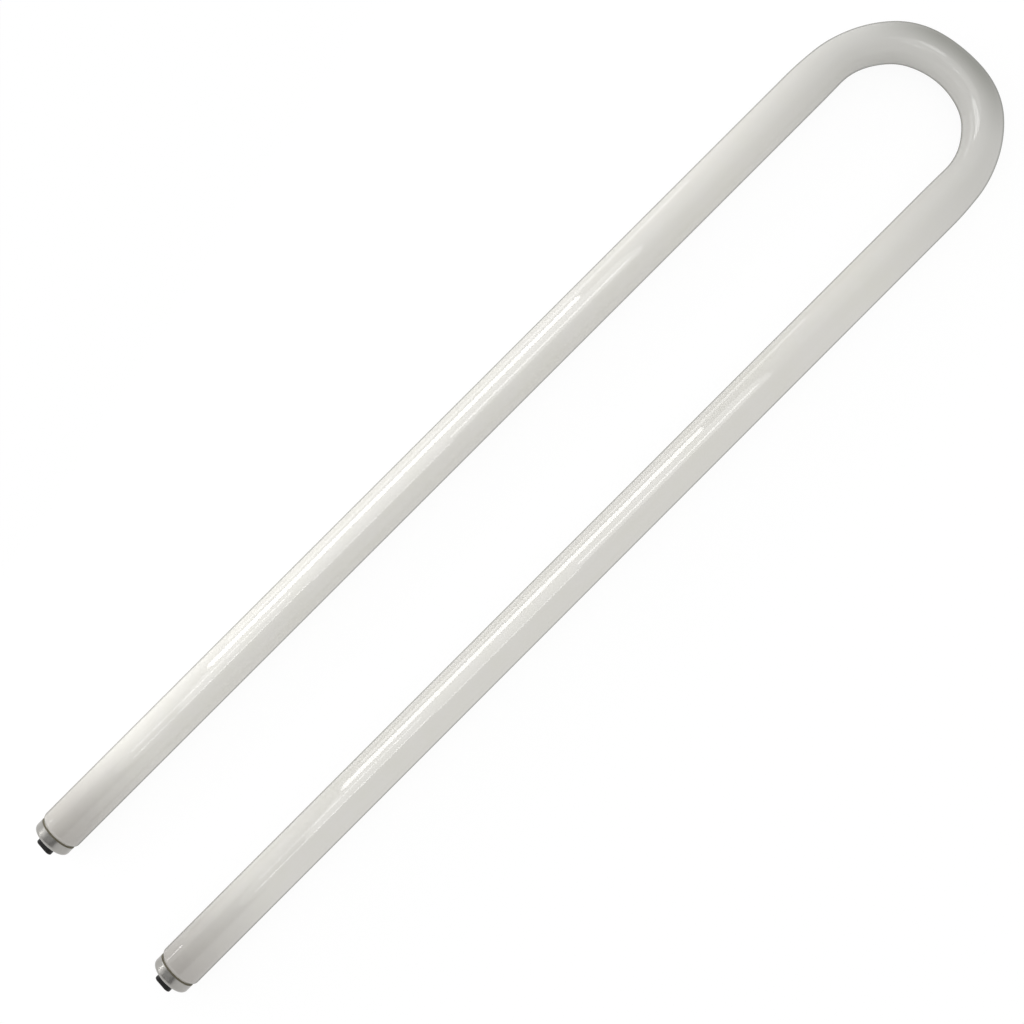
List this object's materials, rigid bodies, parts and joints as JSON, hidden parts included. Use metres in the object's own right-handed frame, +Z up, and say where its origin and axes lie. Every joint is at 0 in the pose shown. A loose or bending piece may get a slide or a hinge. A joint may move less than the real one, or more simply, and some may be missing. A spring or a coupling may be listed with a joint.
{
  "type": "U-bent fluorescent tube",
  "caption": "White-coated glass tube bent into a U, with an aluminium cap and a black oblong recessed-contact boss on each end.",
  "frame": {"origin": "on the surface the lamp lies on, under the middle of the whole lamp", "axes": "+Y along the legs towards the bend, +X from the left leg to the right leg, +Z up, square to the plane of the U"},
  "size_m": [0.1906, 1.016, 0.0381],
  "materials": {
    "coated_glass": "glossy",
    "cap_aluminium": "satin",
    "phenolic": "satin",
    "basing_cement": "matt",
    "contact_brass": "tinned",
    "lead_wire": "drawn"
  },
  "bodies": {
    "root": {"glass_tube": "coated_glass", "left_cap_shell": "cap_aluminium", "left_insulator": "phenolic", "left_cement_ring": "basing_cement", "left_contact_1": "contact_brass", "left_lead_wire_1": "lead_wire", "left_contact_2": "contact_brass", "left_lead_wire_2": "lead_wire", "right_cap_shell": "cap_aluminium", "right_insulator": "phenolic", "right_cement_ring": "basing_cement", "right_contact_1": "contact_brass", "right_lead_wire_1": "lead_wire", "right_contact_2": "contact_brass", "right_lead_wire_2": "lead_wire"}
  },
  "joints": []
}
